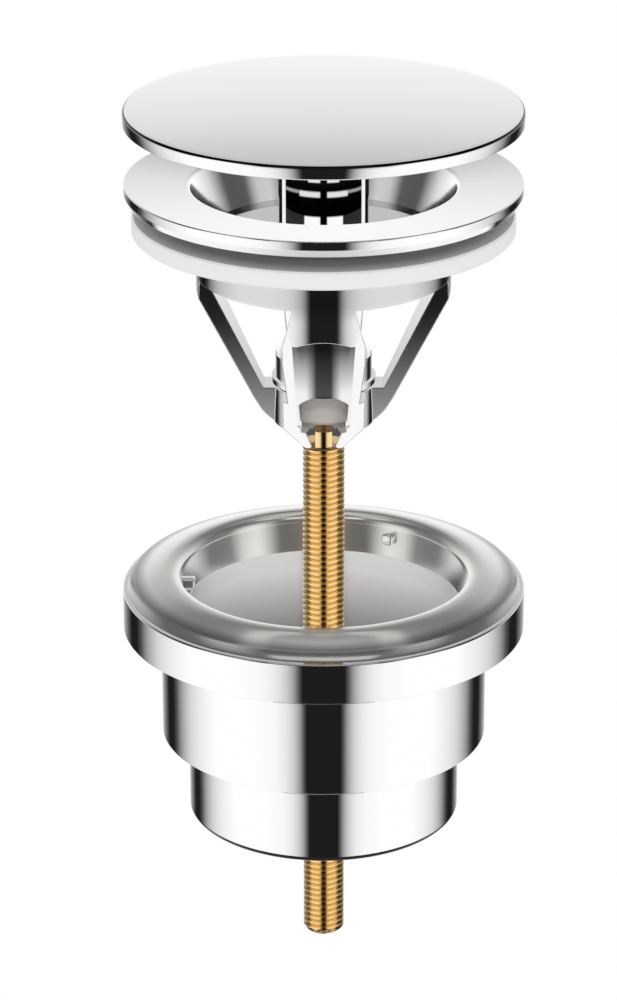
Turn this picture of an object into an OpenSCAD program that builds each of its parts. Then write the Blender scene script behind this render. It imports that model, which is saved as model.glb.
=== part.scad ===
// Push-open basin waste with a clamping rod. Millimetres, +Z up.
// The origin is on the axis, in the plane where the upper seal lies on the basin.

/* [Cover cap] */
// Diameter of the cover disc
cap_d = 65; // [62:0.5:68]
// Thickness of the disc at its edge
cap_edge_t = 2.2; // [1.8:0.1:3]
// Rise of the crown over the edge
cap_crown = 0.8; // [0.4:0.1:1.5]
// Gap between disc and flange when the waste is open
cap_gap = 9.9; // [9.6:0.1:12]
// Travel of the cap from open to closed
cap_travel = 9; // [7:0.5:9]

/* [Closing seal] */
// Thickness of the carrier disc under the cap
carrier_t = 2.5; // [2:0.1:3]
// Diameter of the carrier disc
carrier_d = 36.8; // [35:0.2:37]
// Depth that the rubber lip hangs below the cap
lip_drop = 3.7; // [3.2:0.1:4]
// Outer diameter of the rubber lip at its foot
lip_d = 40.8; // [40:0.1:41]

/* [Flange and throat] */
// Diameter of the flange
flange_d = 65; // [63:0.5:70]
// Height of the flange's rim
flange_rim_t = 2.7; // [2.2:0.1:3.5]
// Depth of the dish from the flange's edge to its mouth
flange_dish = 0.5; // [0.3:0.1:0.8]
// Diameter of the step under the flange
collar_d = 50; // [46:0.5:56]
// Height of the step under the flange
collar_h = 2.7; // [1.5:0.1:4]
// Diameter of the mouth at the top of the cone
mouth_d = 43.2; // [42.8:0.1:46]
// Diameter at the foot of the cone
cone_end_d = 37.4; // [36:0.1:37.8]
// Depth of the cone below the flange's top
cone_depth = 8.6; // [8:0.1:9.4]
// Outer diameter of the throat, which passes the basin's waste hole
throat_d = 41.8; // [40:0.1:43]
// Wall of the throat and thickness of the legs
throat_wall = 2.5; // [2:0.1:2.6]
// Length of the throat below the basin seat
throat_len = 7.1; // [5:0.1:9]

/* [Upper seal] */
// Outer diameter of the upper seal
upper_seal_d = 62.6; // [58:0.2:64]
// Thickness of the upper seal
upper_seal_t = 3; // [2:0.1:4]

/* [Legs and hub] */
// Depth of the hub's top face below the basin seat
hub_top_depth = 26.5; // [26:0.1:29]
// Height of the hub
hub_h = 10.8; // [10:0.1:13]
// Diameter of the hub
hub_d = 16.6; // [16:0.1:18]
// Diameter of the flat at the hub's tip
hub_tip_d = 7.5; // [7.2:0.1:8]
// Depth at which the side legs turn inwards
side_kink_depth = 9.3; // [9:0.1:12]
// Depth at which the front and rear legs turn inwards
front_kink_depth = 12.3; // [10:0.1:13]
// Width of the side legs at the throat
side_leg_top_w = 10.4; // [8:0.1:12]
// Width of the side legs at the hub
side_leg_low_w = 5.4; // [4:0.1:7]
// Width of the front and rear legs at the throat
front_leg_top_w = 10.5; // [9:0.1:12]
// Width of the front and rear legs at the hub
front_leg_low_w = 13.3; // [12:0.1:14]
// Width of the legs' flat outer face where they turn inwards
face_top_w = 10; // [9:0.1:10.4]
// Width of the window where its arch springs
window_top_w = 8.1; // [7:0.1:8.6]
// Width of the window at its foot
window_low_w = 7.3; // [6:0.1:8]
// Depth of the crown of the window's arch below the basin seat
window_crown_depth = 23.9; // [23:0.1:25]
// Depth of the legs' slanted flanks for each millimetre of width
flank_slope = 1.1; // [0.8:0.05:1.4]
// Height of the window's arch
window_arch_h = 2; // [1:0.1:3]
// Width of the slot beside the rod
rod_slot_w = 2.7; // [2:0.1:3]

/* [Cartridge] */
// Outer diameter of the sleeve
sleeve_d = 14.7; // [14.4:0.1:16]
// Wall of the sleeve
sleeve_wall = 1.05; // [0.8:0.05:1.2]
// Length of the sleeve
sleeve_len = 25.4; // [25.2:0.1:25.8]
// Thickness of the sleeve's closed end
sleeve_end_t = 2.8; // [2:0.1:3.5]
// Outer diameter of the core's tube
core_d = 10.4; // [9.8:0.1:10.6]
// Bore of the core's tube
core_bore_d = 7.2; // [7:0.1:7.6]
// Diameter of the cartridge's round foot
foot_d = 15.9; // [15:0.1:16.4]
// Height of the cartridge's round foot
foot_h = 5.8; // [5:0.1:6]
// Rounding on top of the foot
foot_round = 2.4; // [1:0.1:2.6]
// Diameter of the brim below the foot
brim_d = 17.2; // [16.6:0.1:18]
// Thickness of the brim below the foot
brim_t = 0.9; // [0.6:0.1:1.2]
// Thickness of the gasket below the brim
gasket_t = 0.6; // [0.5:0.1:1]
// Height of the stop ring in the sleeve's mouth
stop_ring_h = 1.8; // [1.4:0.1:2.2]
// Thickness of the head that the stop ring catches
core_head_t = 2.5; // [2:0.1:3]
// Number of teeth on crown and cam ring
teeth = 8; // [4:2:12]
// Height of the teeth
tooth_h = 1.5; // [1:0.1:1.8]
// Diameter of the plug that is screwed into the hub
plug_d = 10; // [9.4:0.1:10.4]
// Length of the plug inside the hub
plug_len = 5.9; // [5:0.1:6]
// Diameter of the screw through the cap's centre
stud_d = 5; // [4:0.5:5]
// Wire of the spring
wire_d = 0.7; // [0.5:0.05:0.8]
// Turns of the spring
spring_turns = 8; // [6:1:10]

/* [Clamping rod] */
// Thread diameter of the rod
rod_d = 7; // [6.4:0.1:7.2]
// Diameter of the smooth neck held in the hub
rod_neck_d = 5.5; // [5:0.1:5.8]
// Length of the thread below the hub
rod_len = 90.7; // [90:0.5:110]
// Chamfer at the rod's lower end
rod_chamfer = 0.8; // [0.4:0.1:1.2]

/* [Lower seal] */
// Distance from the basin seat down to the rim of the lower body
rim_depth = 62.6; // [60:0.5:70]
// Inner diameter of the lower seal at its top edge
lower_seal_mouth_d = 48.2; // [47:0.1:50]
// Diameter of the ridge on top of the lower seal
lower_seal_ridge_d = 64.4; // [62:0.1:65]
// Height of the seal's inner edge over the rim
lower_seal_edge_h = 1.2; // [0.6:0.1:1.6]
// Height of the seal's crest over the rim
lower_seal_crest_h = 3; // [2.6:0.1:3.4]
// Size of the three nubs inside the lower seal
nub_size = 2; // [1:0.1:2.4]
// Diameter between the nubs' faces
nub_d = 43.4; // [43:0.1:44.4]

/* [Lower body] */
// Diameter of the rim
rim_d = 67.7; // [67:0.1:72]
// Height of the rim
rim_h = 7; // [5.5:0.1:8]
// Wall of the rim around the seal
rim_wall = 0.84; // [0.8:0.02:1]
// Depth of the recess that holds the seal
recess_h = 3.6; // [3:0.1:4]
// Diameter of the middle step
middle_d = 55; // [52:0.5:58]
// Height of the middle step
middle_h = 19.3; // [18:0.5:24]
// Bore of the middle step
cup_bore_d = 46; // [45:0.2:47]
// Diameter of the outlet sleeve
outlet_d = 46; // [45.6:0.1:48]
// Height of the outlet sleeve
outlet_h = 14.8; // [14:0.1:18]
// Bore of the outlet socket, at the root of its thread
socket_d = 41.9; // [41.5:0.1:42.3]
// Depth of the outlet socket
socket_depth = 12.7; // [11:0.1:13]
// Diameter of the drain hole in the cup's floor
floor_hole_d = 35; // [33:0.5:36]
// Thickness of the cup's floor
floor_t = 5; // [4.5:0.1:5.5]
// Edge rounding on the lower body
body_round = 0.5; // [0.3:0.1:0.8]

/* [Bridge] */
// Thickness of the bridge's ring
bridge_ring_t = 2.6; // [2:0.1:3.5]
// Inner diameter of the bridge's ring
bridge_ring_d = 40.4; // [38:0.2:42]
// Number of arms on the bridge
bridge_arms = 3; // [3:1:4]
// Width of the bridge's arms
bridge_arm_w = 4; // [3:0.1:6]
// Height of the bridge's arms inside the drain hole
bridge_arm_h = 7; // [5:0.1:8]
// Diameter of the threaded boss
boss_d = 13; // [11:0.1:16]
// Height of the threaded boss
boss_h = 9; // [8:0.1:12]
// Thickness of the washer in the outlet socket
washer_t = 2; // [1.5:0.1:3]
// Width of that washer's ring
washer_w = 4.2; // [3:0.1:5]

/* [Fits] */
// Gap between round faces that are screwed or pressed together
fixed_gap = 0.02; // [0.01:0.01:0.03]
// Gap between round faces that run on each other
running_gap = 0.05; // [0.03:0.01:0.08]
// Gap where soft or loose faces lie next to each other
loose_gap = 0.2; // [0.1:0.05:0.3]

/* [Hidden] */
$fn = 96;

// Heights, from the basin seat
flange_top = upper_seal_t + collar_h + flange_rim_t;
cap_under = flange_top + cap_gap;
sleeve_top = cap_under - carrier_t;
sleeve_foot = sleeve_top - sleeve_len;
sleeve_roof = sleeve_top - sleeve_end_t;
hub_top = -hub_top_depth;
hub_foot = hub_top - hub_h;
brim_under = hub_top + gasket_t;
foot_base = brim_under + brim_t;
foot_top = foot_base + foot_h;
head_base = sleeve_foot + stop_ring_h + loose_gap;
head_top = head_base + core_head_t;
rim_top = -rim_depth;
rim_foot = rim_top - rim_h;
seal_base = rim_top - recess_h;
middle_foot = rim_foot - middle_h;
outlet_foot = middle_foot - outlet_h;
socket_top = outlet_foot + socket_depth;
cup_floor = socket_top + floor_t;

// Radii
throat_r = throat_d / 2;
bore_r = plug_d / 2 + fixed_gap;
sleeve_bore_r = sleeve_d / 2 - sleeve_wall;
head_r = sleeve_bore_r - running_gap;
cam_hub_r = head_r * 0.65;
tooth_in_r = head_r - 1;
tooth_root = 0.2;
neck_bore_r = rod_neck_d / 2 + fixed_gap;
stud_bore_r = stud_d / 2 + fixed_gap;

// Sizes inside the cartridge
stud_grip = 3.4;
cam_ring_h = 4.5;
cam_hub_h = 4.6;
pin_len = 12.6;
collar_t = 0.8;
cam_seat = sleeve_roof - cam_ring_h;
cam_hub_foot = sleeve_roof - cam_hub_h;
pin_foot = cam_hub_foot - pin_len;
pin_tip_h = 1;
pin_r = 2;
core_floor_t = 1.3;
tooth_room = 0.3;
carrier_brim_t = 0.8;
carrier_brim_w = 1;
outlet_chamfer = 0.4;

// Rounding where the legs turn inwards
kink_round = 1.2;
// Height of the pocket and of the rod's neck inside the hub
pocket_floor = hub_top - plug_len - 0.6;
neck_tip = pocket_floor - 0.3;

// The plain slant of the legs: radius at a depth, from two points on it
corner_r = 10.27;
corner_z = hub_foot + 6.5;
function slant_r(z, kink_z) =
    corner_r + (z - corner_z) * (throat_r - corner_r) / (kink_z - corner_z);

// Points of an arc around a centre, from one angle to another
function arc_pts(c, r, a0, a1, n) =
    [for (i = [0:n]) c + r * [cos(a0 + (a1 - a0) * i / n), sin(a0 + (a1 - a0) * i / n)]];

// A corner between two straight lines, rounded by an arc
function unit2(v) = v / norm(v);
function round_corner(a, b, c, r, n = 8) =
    let (u = unit2(a - b), v = unit2(c - b),
         half = acos(u * v) / 2,
         p = b + u * r / tan(half),
         q = b + v * r / tan(half),
         m = b + unit2(u + v) * r / sin(half),
         a0 = atan2(p[1] - m[1], p[0] - m[0]),
         a1 = atan2(q[1] - m[1], q[0] - m[0]),
         turn = a1 - a0 > 180 ? a1 - a0 - 360 : a1 - a0 < -180 ? a1 - a0 + 360 : a1 - a0)
    arc_pts(m, r, a0, a0 + turn, n);

module ring(r_in, r_out, z0, z1) {
    translate([0, 0, z0])
        difference() {
            cylinder(r = r_out, h = z1 - z0);
            translate([0, 0, -1]) cylinder(r = r_in, h = z1 - z0 + 2);
        }
}

// A thin disc with a crowned top and a rounded edge
module cover_cap() {
    r = cap_d / 2;
    top = cap_under + cap_edge_t;
    edge = 0.35;
    low_edge = 0.2;
    crown_r = r - edge;
    sphere_r = (crown_r * crown_r + cap_crown * cap_crown) / (2 * cap_crown);
    crown_a = asin(crown_r / sphere_r);
    color("gainsboro")
        difference() {
            rotate_extrude($fn = 180)
                polygon(concat(
                    [[0, cap_under]],
                    arc_pts([r - low_edge, cap_under + low_edge], low_edge, -90, 0, 6),
                    arc_pts([r - edge, top - edge], edge, 0, 90, 10),
                    [for (i = [15:-1:0]) [sphere_r * sin(crown_a * i / 16),
                        top + cap_crown - sphere_r + sphere_r * cos(crown_a * i / 16)]]));
            translate([0, 0, cap_under - 1])
                cylinder(r = stud_bore_r, h = 1 + cap_edge_t - 0.4);
        }
}

// The disc under the cap, with a brim that traps the rubber lip
module seal_carrier() {
    r = carrier_d / 2;
    color("whitesmoke")
        rotate_extrude()
            polygon([[stud_bore_r, sleeve_top], [r + carrier_brim_w, sleeve_top],
                     [r + carrier_brim_w, sleeve_top + carrier_brim_t],
                     [r, sleeve_top + carrier_brim_t], [r, cap_under], [stud_bore_r, cap_under]]);
}

module cap_seal() {
    r_in = carrier_d / 2 + fixed_gap;
    r_foot = lip_d / 2;
    z_low = cap_under - lip_drop;
    brim_r = r_in + carrier_brim_w + 0.1;
    flare = 0.6;
    color("dimgray")
        rotate_extrude()
            polygon([[r_in, cap_under], [r_in, sleeve_top + carrier_brim_t],
                     [brim_r, sleeve_top + carrier_brim_t], [brim_r, z_low + 0.5],
                     [brim_r + 0.3, z_low], [r_foot, z_low], [r_foot + flare, z_low + 2.6],
                     [r_foot + flare, cap_under]]);
}

module cap_stud() {
    color("silver")
        translate([0, 0, sleeve_roof - stud_grip])
            cylinder(r = stud_d / 2, h = cap_under + cap_edge_t - 0.5 - sleeve_roof + stud_grip);
}

// The chrome neck: a closed sleeve that slides on the core
module click_sleeve() {
    r = sleeve_d / 2;
    color("gainsboro")
        rotate_extrude()
            polygon(concat(
                [[stud_bore_r, sleeve_top], [stud_bore_r, sleeve_roof],
                 [sleeve_bore_r, sleeve_roof], [sleeve_bore_r, sleeve_foot]],
                [[r - 0.3, sleeve_foot], [r, sleeve_foot + 0.3], [r, sleeve_top]]));
}

module stop_ring() {
    color("white")
        ring(core_d / 2 + running_gap, sleeve_bore_r - fixed_gap, sleeve_foot, sleeve_foot + stop_ring_h);
}

// The pin in the sleeve: a hub for the cam ring, a seat for the spring, and a guide
module plunger() {
    color("ivory")
        difference() {
            union() {
                translate([0, 0, cam_hub_foot]) cylinder(r = cam_hub_r, h = sleeve_roof - cam_hub_foot);
                translate([0, 0, cam_hub_foot - collar_t]) cylinder(r = tooth_in_r - tooth_room, h = collar_t);
                translate([0, 0, pin_foot]) cylinder(r1 = pin_r * 0.7, r2 = pin_r, h = pin_tip_h);
                translate([0, 0, pin_foot + pin_tip_h])
                    cylinder(r = pin_r, h = cam_hub_foot - pin_foot - pin_tip_h - collar_t + 0.1);
            }
            translate([0, 0, sleeve_roof - stud_grip]) cylinder(r = stud_bore_r, h = stud_grip + 1);
        }
}

// The gaps between the ratchet teeth of a ring that stands on z = 0
module tooth_gaps() {
    pitch = PI * (tooth_in_r + head_r) / teeth;
    flat = pitch * 0.6;
    ramp = pitch * 0.17;
    for (i = [0:teeth - 1])
        rotate([90, 0, 90 + i * 360 / teeth])
            translate([-(flat + ramp) / 2, 0, tooth_in_r - 0.8])
                linear_extrude(head_r - tooth_in_r + 1.6)
                    polygon([[0, tooth_root], [flat, tooth_root], [flat, tooth_root + tooth_room],
                             [flat + ramp, tooth_h], [flat + ramp, tooth_h + 1], [0, tooth_h + 1]]);
}

// The toothed ring under the sleeve's closed end
module cam_ring() {
    color("lightsteelblue")
        rotate([0, 0, 180 / teeth])
            difference() {
                rotate_extrude()
                    polygon([[cam_hub_r + running_gap, cam_seat], [tooth_in_r, cam_seat],
                             [tooth_in_r, cam_seat - tooth_h], [head_r, cam_seat - tooth_h],
                             [head_r, sleeve_roof - loose_gap],
                             [cam_hub_r + running_gap, sleeve_roof - loose_gap]]);
                translate([0, 0, cam_seat]) mirror([0, 0, 1]) tooth_gaps();
            }
}

// The compression spring, a round wire wound between the core's floor and the plunger
module click_spring() {
    coil_r = core_bore_d / 2 - wire_d / 2 - loose_gap;
    z0 = foot_top + core_floor_t + wire_d / 2 + fixed_gap;
    z1 = cam_hub_foot - collar_t - wire_d / 2 - fixed_gap;
    sides = 6;
    steps = 14;
    n = spring_turns * steps;
    function ring_pts(i) =
        let (a = 360 * i / steps, z = z0 + (z1 - z0) * i / n)
        [for (k = [0:sides - 1])
            let (b = 360 * k / sides, rr = coil_r + wire_d / 2 * cos(b))
            [rr * cos(a), rr * sin(a), z + wire_d / 2 * sin(b)]];
    pts = [for (i = [0:n]) each ring_pts(i)];
    walls = [for (i = [0:n - 1], k = [0:sides - 1])
        let (a = i * sides + k, b = i * sides + (k + 1) % sides)
        each [[a, a + sides, b], [b, a + sides, b + sides]]];
    ends = [[for (k = [0:sides - 1]) k], [for (k = [sides - 1:-1:0]) n * sides + k]];
    color("silver") polyhedron(points = pts, faces = concat(walls, ends), convexity = 10);
}

// The fixed half of the cartridge: foot, tube, stop head and toothed crown
module click_core() {
    crown_base = cam_seat - cap_travel - tooth_h - tooth_root - tooth_room;
    r = foot_d / 2;
    color("gainsboro")
        difference() {
            rotate_extrude()
                polygon(concat(
                    [[0, brim_under], [brim_d / 2, brim_under], [brim_d / 2, foot_base], [r, foot_base]],
                    arc_pts([r - foot_round, foot_top - foot_round], foot_round, 0, 90, 8),
                    [[core_d / 2, foot_top], [core_d / 2, head_base], [head_r, head_base],
                     [head_r, crown_base + tooth_h], [tooth_in_r, crown_base + tooth_h],
                     [tooth_in_r, head_top], [0, head_top]]));
            translate([0, 0, foot_top + core_floor_t]) cylinder(r = core_bore_d / 2, h = sleeve_len);
            translate([0, 0, brim_under - 1]) cylinder(r = core_bore_d / 2, h = foot_h);
            translate([0, 0, crown_base]) tooth_gaps();
        }
}

module core_gasket() {
    color("black")
        ring(plug_d / 2 + fixed_gap, foot_d / 2, hub_top, hub_top + gasket_t);
}

// The plug that screws the cartridge into the hub
module core_plug() {
    neck_r = core_bore_d / 2 - fixed_gap;
    neck_top = brim_under + foot_h - 1.6;
    chamfer = 0.6;
    color("rosybrown")
        rotate_extrude()
            polygon([[0, hub_top - plug_len], [plug_d / 2 - chamfer, hub_top - plug_len],
                     [plug_d / 2, hub_top - plug_len + chamfer], [plug_d / 2, brim_under],
                     [neck_r, brim_under], [neck_r, neck_top], [0, neck_top]]);
}

// Everything that the legs and the hub may fill: throat cylinder above, rounded cone below
module hub_envelope() {
    out = [throat_r, corner_z + (throat_r - corner_r) / 0.6];
    rotate_extrude($fn = 128)
        polygon(concat([[0, hub_foot], [hub_tip_d / 2, hub_foot]],
            round_corner([hub_tip_d / 2, hub_foot], [corner_r, corner_z], out, 6),
            [out, [throat_r, -throat_len + 1], [0, -throat_len + 1]]));
}

// Outline of a leg in the plane of radius and height; below the hub's top it runs in to the axis
module leg_outline(kink_z) {
    over = throat_r + 0.3;
    over_z = kink_z + (over - throat_r) * (kink_z - corner_z) / (throat_r - corner_r);
    inner_kink_z = kink_z + 1;
    polygon(concat(
        [[throat_r - throat_wall, 0 - throat_len + 1], [over, -throat_len + 1]],
        round_corner([over, -throat_len + 1], [over, over_z],
                     [slant_r(hub_foot, kink_z), hub_foot], kink_round),
        [[slant_r(hub_foot, kink_z), hub_foot], [0, hub_foot], [0, hub_top],
         [slant_r(hub_top, kink_z) - throat_wall, hub_top],
         [throat_r - throat_wall, inner_kink_z]]));
}

// Left and right legs, tapering to a web that joins the hub
module side_legs() {
    web_w = side_leg_low_w - (side_leg_top_w - side_leg_low_w) * hub_h / (hub_top_depth - throat_len);
    for (s = [-1, 1])
        intersection() {
            rotate([90, 0, s < 0 ? 180 : 0])
                translate([0, 0, -side_leg_top_w])
                    linear_extrude(2 * side_leg_top_w)
                        leg_outline(-side_kink_depth);
            rotate([90, 0, 90])
                translate([0, 0, -throat_d])
                    linear_extrude(2 * throat_d)
                        polygon([[-side_leg_top_w / 2, 0], [-side_leg_top_w / 2, -throat_len],
                                 [-web_w / 2, hub_foot], [web_w / 2, hub_foot],
                                 [side_leg_top_w / 2, -throat_len], [side_leg_top_w / 2, 0]]);
        }
}

// The slanted flank cut off each edge of a front leg's outer face
module flank_cutter(s) {
    kink_z = -front_kink_depth;
    tilt = atan2(throat_r - corner_r, kink_z - corner_z);
    face_len = norm([throat_r - corner_r, kink_z - corner_z]);
    taper = atan2((face_top_w - window_low_w) / 2, face_len);
    translate([s * face_top_w / 2, -throat_r, kink_z])
        rotate([tilt, 0, 0])
            rotate([0, s * taper, 0])
                translate([0, 0, -face_len - 12])
                    linear_extrude(face_len + 16)
                        polygon([[0, 0], [s * 6, -0.5], [s * 6, 6 * flank_slope]]);
}

// Front and rear legs: wide, with slanted flanks
module front_legs() {
    for (a = [0, 180])
        rotate([0, 0, a])
            difference() {
                intersection() {
                    rotate([90, 0, -90])
                        translate([0, 0, -front_leg_low_w])
                            linear_extrude(2 * front_leg_low_w)
                                leg_outline(-front_kink_depth);
                    rotate([90, 0, 0])
                        linear_extrude(throat_d)
                            polygon([[-front_leg_top_w / 2, 0], [-front_leg_top_w / 2, -throat_len - 1],
                                     [-front_leg_low_w / 2, -front_kink_depth - 1.5],
                                     [-front_leg_low_w / 2, hub_foot], [front_leg_low_w / 2, hub_foot],
                                     [front_leg_low_w / 2, -front_kink_depth - 1.5],
                                     [front_leg_top_w / 2, -throat_len - 1], [front_leg_top_w / 2, 0]]);
                }
                for (s = [-1, 1])
                    flank_cutter(s);
            }
}

// The window through front leg, hub and rear leg, arched on top
module window_cut() {
    spring_z = -window_crown_depth - window_arch_h;
    foot_z = hub_top - plug_len;
    half = window_top_w / 2;
    arch_r = (half * half + window_arch_h * window_arch_h) / (2 * window_arch_h);
    arch_a = asin(half / arch_r);
    rotate([90, 0, 0])
        translate([0, 0, -throat_r])
            linear_extrude(2 * throat_r)
                polygon(concat(
                    arc_pts([0, -window_crown_depth - arch_r], arch_r, 90 - arch_a, 90 + arch_a, 10),
                    [[-window_low_w / 2, foot_z], [window_low_w / 2, foot_z]]));
}

// The slots beside the rod, wide outside and narrow inside
module rod_slots() {
    foot_z = hub_top - plug_len;
    for (a = [0, 180])
        rotate([0, 0, a])
            hull() {
                translate([0, -corner_r - 0.5, 0])
                    rotate([90, 0, 0])
                        linear_extrude(0.5)
                            polygon([[-window_low_w / 2, foot_z + 0.5], [window_low_w / 2, foot_z + 0.5],
                                     [rod_slot_w, hub_foot - 1], [-rod_slot_w, hub_foot - 1]]);
                translate([0, -rod_neck_d / 2 + 0.4, 0])
                    rotate([90, 0, 0])
                        linear_extrude(0.4)
                            polygon([[-rod_slot_w / 2, foot_z + 0.5], [rod_slot_w / 2, foot_z + 0.5],
                                     [rod_slot_w / 2, hub_foot - 1], [-rod_slot_w / 2, hub_foot - 1]]);
            }
}

// Flange, cone and throat as one turned shape
module flange_and_throat() {
    r = flange_d / 2;
    edge = 0.15;
    mouth_round = 0.8;
    rim_low = flange_top - flange_rim_t * 0.55;
    rotate_extrude($fn = 180)
        polygon(concat(
            [[throat_r, -throat_len], [throat_r, upper_seal_t], [collar_d / 2, upper_seal_t],
             [collar_d / 2, upper_seal_t + collar_h],
             [r - (rim_low - upper_seal_t - collar_h) / 2, upper_seal_t + collar_h], [r, rim_low]],
            arc_pts([r - edge, flange_top - edge], edge, 0, 90, 5),
            arc_pts([mouth_d / 2 + mouth_round, flange_top - flange_dish - mouth_round], mouth_round, 90, 160, 6),
            [[cone_end_d / 2, flange_top - cone_depth], [throat_r - throat_wall, flange_top - cone_depth - 1],
             [throat_r - throat_wall, -throat_len]]));
}

// The one-piece casting
module waste_body() {
    color("gainsboro")
        difference() {
            union() {
                flange_and_throat();
                intersection() {
                    hub_envelope();
                    union() {
                        side_legs();
                        front_legs();
                        translate([0, 0, hub_foot]) cylinder(r = hub_d / 2, h = hub_h);
                    }
                }
            }
            window_cut();
            rod_slots();
            translate([0, 0, pocket_floor]) cylinder(r = bore_r, h = plug_len + 2);
            translate([0, 0, hub_foot - 1]) cylinder(r = neck_bore_r, h = pocket_floor - hub_foot + 1.5);
        }
}

module upper_seal() {
    r = upper_seal_d / 2;
    edge = 0.3;
    color("white")
        rotate_extrude($fn = 180)
            polygon([[throat_r + fixed_gap, 0], [r - edge, 0], [r, edge], [r, upper_seal_t - edge],
                     [r - edge, upper_seal_t], [throat_r + fixed_gap, upper_seal_t]]);
}

// The threaded rod; its smooth neck is fixed in the hub and ends in a riveted point
module clamp_rod() {
    neck_r = rod_neck_d / 2;
    color("goldenrod")
        rotate_extrude()
            polygon([[0, hub_foot - rod_len], [rod_d / 2 - rod_chamfer, hub_foot - rod_len],
                     [rod_d / 2, hub_foot - rod_len + rod_chamfer], [rod_d / 2, hub_foot],
                     [neck_r, hub_foot], [neck_r, neck_tip - 1.1], [neck_r * 0.55, neck_tip - 0.6],
                     [0, neck_tip]]);
}

// The bulging silicone ring in the rim, with three nubs inside
module lower_seal() {
    r_in = lower_seal_mouth_d / 2;
    r_out = rim_d / 2 - rim_wall - running_gap;
    ridge_r = lower_seal_ridge_d / 2;
    edge_z = rim_top + lower_seal_edge_h;
    ridge_z = rim_top + lower_seal_crest_h * 0.48;
    bulge = rim_top + lower_seal_crest_h - edge_z - (ridge_z - edge_z) / 4;
    color("lightgray")
        union() {
            rotate_extrude($fn = 180)
                polygon(concat(
                    [[cup_bore_d / 2 + loose_gap, seal_base], [r_out, seal_base], [r_out, rim_top],
                     [(r_out + ridge_r) / 2, rim_top + 0.4]],
                    [for (i = [12:-1:0])
                        let (t = pow(i / 12, 2))
                        [r_in + (ridge_r - r_in) * t,
                         edge_z + (ridge_z - edge_z) * t + bulge * sin(15 * i)]],
                    [[r_in - 0.2, edge_z - 0.4]]));
            for (a = [60, 180, 300])
                rotate([0, 0, a])
                    translate([nub_d / 2, -nub_size / 2, edge_z - 2.2])
                        cube([r_in - nub_d / 2 + 0.6, nub_size, nub_size]);
        }
}

// The stepped cup with the outlet socket
module lower_body() {
    b = body_round;
    rr = rim_d / 2;
    rm = middle_d / 2;
    ro = outlet_d / 2;
    rs = socket_d / 2;
    color("gainsboro")
        rotate_extrude($fn = 180)
            polygon(concat(
                [[cup_bore_d / 2, seal_base], [rr - rim_wall, seal_base], [rr - rim_wall, rim_top]],
                arc_pts([rr - b / 2, rim_top - b / 2], b / 2, 90, 0, 3),
                arc_pts([rr - b, rim_foot + b], b, 0, -90, 4),
                [[rm, rim_foot]],
                arc_pts([rm - b, middle_foot + b], b, 0, -90, 4),
                [[ro, middle_foot]],
                arc_pts([ro - 2 * b, outlet_foot + 2 * b], 2 * b, 0, -90, 5),
                [[rs + outlet_chamfer, outlet_foot], [rs, outlet_foot + outlet_chamfer], [rs, socket_top],
                 [floor_hole_d / 2, socket_top], [floor_hole_d / 2, cup_floor],
                 [cup_bore_d / 2, cup_floor]]));
}

// The spider with the threaded boss that runs on the rod
module bridge() {
    top = cup_floor + bridge_ring_t;
    r_out = cup_bore_d / 2 - fixed_gap;
    arm_r = floor_hole_d / 2 - loose_gap;
    color("darkkhaki")
        difference() {
            union() {
                ring(bridge_ring_d / 2, r_out, cup_floor, top);
                for (i = [0:bridge_arms - 1])
                    rotate([0, 0, 90 + i * 360 / bridge_arms]) {
                        translate([0, -bridge_arm_w / 2, cup_floor])
                            cube([(bridge_ring_d / 2 + r_out) / 2, bridge_arm_w, bridge_ring_t]);
                        translate([0, -bridge_arm_w / 2, top - bridge_arm_h])
                            cube([arm_r, bridge_arm_w, bridge_arm_h]);
                    }
                translate([0, 0, top - boss_h]) cylinder(r = boss_d / 2, h = boss_h);
            }
            translate([0, 0, top - boss_h - 1]) cylinder(r = rod_d / 2 + running_gap, h = boss_h + 2);
        }
}

module outlet_washer() {
    r = socket_d / 2 - running_gap;
    color("black")
        ring(r - washer_w, r, socket_top - washer_t, socket_top);
}

cover_cap();
seal_carrier();
cap_seal();
cap_stud();
click_sleeve();
stop_ring();
plunger();
cam_ring();
click_spring();
click_core();
core_gasket();
core_plug();
waste_body();
upper_seal();
clamp_rod();
lower_seal();
lower_body();
bridge();
outlet_washer();
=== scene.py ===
import math

import bmesh
import bpy
from mathutils import Matrix, Vector


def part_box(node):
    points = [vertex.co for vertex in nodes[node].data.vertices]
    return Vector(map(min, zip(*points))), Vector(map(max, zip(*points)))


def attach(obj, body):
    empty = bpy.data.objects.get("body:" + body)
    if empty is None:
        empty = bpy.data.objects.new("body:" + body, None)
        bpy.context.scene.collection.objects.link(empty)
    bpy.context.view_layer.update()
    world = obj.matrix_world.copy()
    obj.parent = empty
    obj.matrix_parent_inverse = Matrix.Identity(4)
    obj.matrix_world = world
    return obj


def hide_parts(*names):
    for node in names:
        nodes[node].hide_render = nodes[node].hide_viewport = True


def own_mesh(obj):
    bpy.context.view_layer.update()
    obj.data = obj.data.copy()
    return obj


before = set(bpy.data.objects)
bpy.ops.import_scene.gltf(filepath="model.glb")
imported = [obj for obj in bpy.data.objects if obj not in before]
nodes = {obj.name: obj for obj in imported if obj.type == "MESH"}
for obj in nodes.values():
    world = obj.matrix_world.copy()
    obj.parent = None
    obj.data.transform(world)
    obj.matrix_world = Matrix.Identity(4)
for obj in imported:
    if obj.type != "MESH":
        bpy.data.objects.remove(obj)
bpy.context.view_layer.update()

# The camera
# A long lens in front of the waste, a little above it, aimed at the middle of the object's axis.
# The axis stands slightly right of the picture's centre, so the lens is shifted by that much.
view_distance = 0.6561
view_pitch = math.radians(21.83)
view_aim_z = -0.0475
lens_mm = 141.07
axis_offset_px = 15.15
picture_height_px = 1000

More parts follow.
